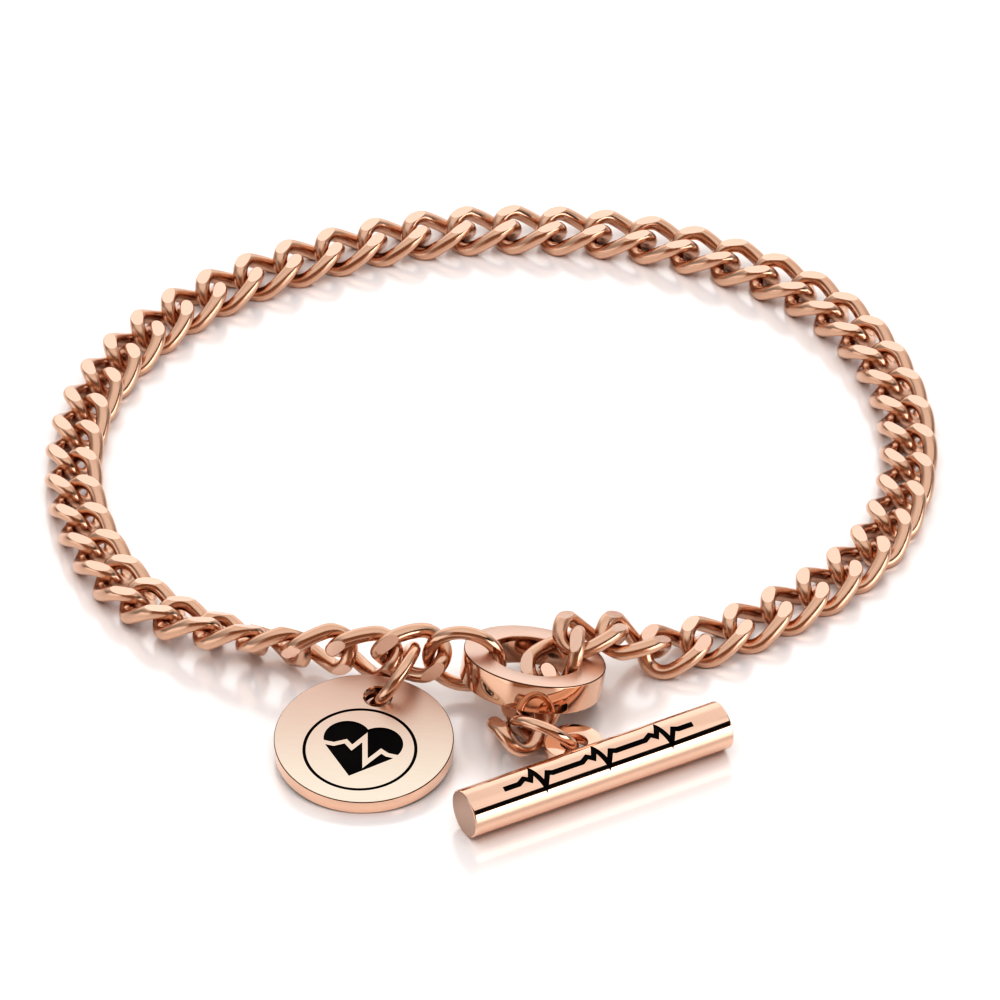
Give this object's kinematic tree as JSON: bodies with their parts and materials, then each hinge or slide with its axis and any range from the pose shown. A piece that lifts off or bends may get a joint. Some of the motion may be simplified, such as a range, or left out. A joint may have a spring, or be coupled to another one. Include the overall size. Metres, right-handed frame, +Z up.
{
  "type": "medical alert bracelet",
  "caption": "Curb-link chain bracelet closed by a toggle ring and bar, with a round engraved medical tag hung beside the clasp, lying fastened as an oval loop.",
  "frame": {"origin": "middle of the bracelet's outline on the surface that it rests on", "axes": "+Z up from the surface, +Y from the clasp across the loop, +X along the loop's width with the tag on the -X side"},
  "size_m": [0.0712, 0.0817, 0.0072],
  "materials": {
    "chain": "rose gold plated, polished wire with finely ground flats",
    "toggle_ring": "rose gold plated, polished wall and satin faces",
    "toggle_bar": "rose gold plated, polished, black engraving",
    "tag": "rose gold plated, satin face, black engraving",
    "jump_rings": "rose gold plated, polished"
  },
  "bodies": {
    "root": {"curb_chain": "chain", "toggle_ring": "toggle_ring", "toggle_bar": "toggle_bar", "medical_tag": "tag", "clasp_jump_ring": "jump_rings", "bar_jump_ring": "jump_rings", "tag_jump_ring": "jump_rings"}
  },
  "joints": []
}
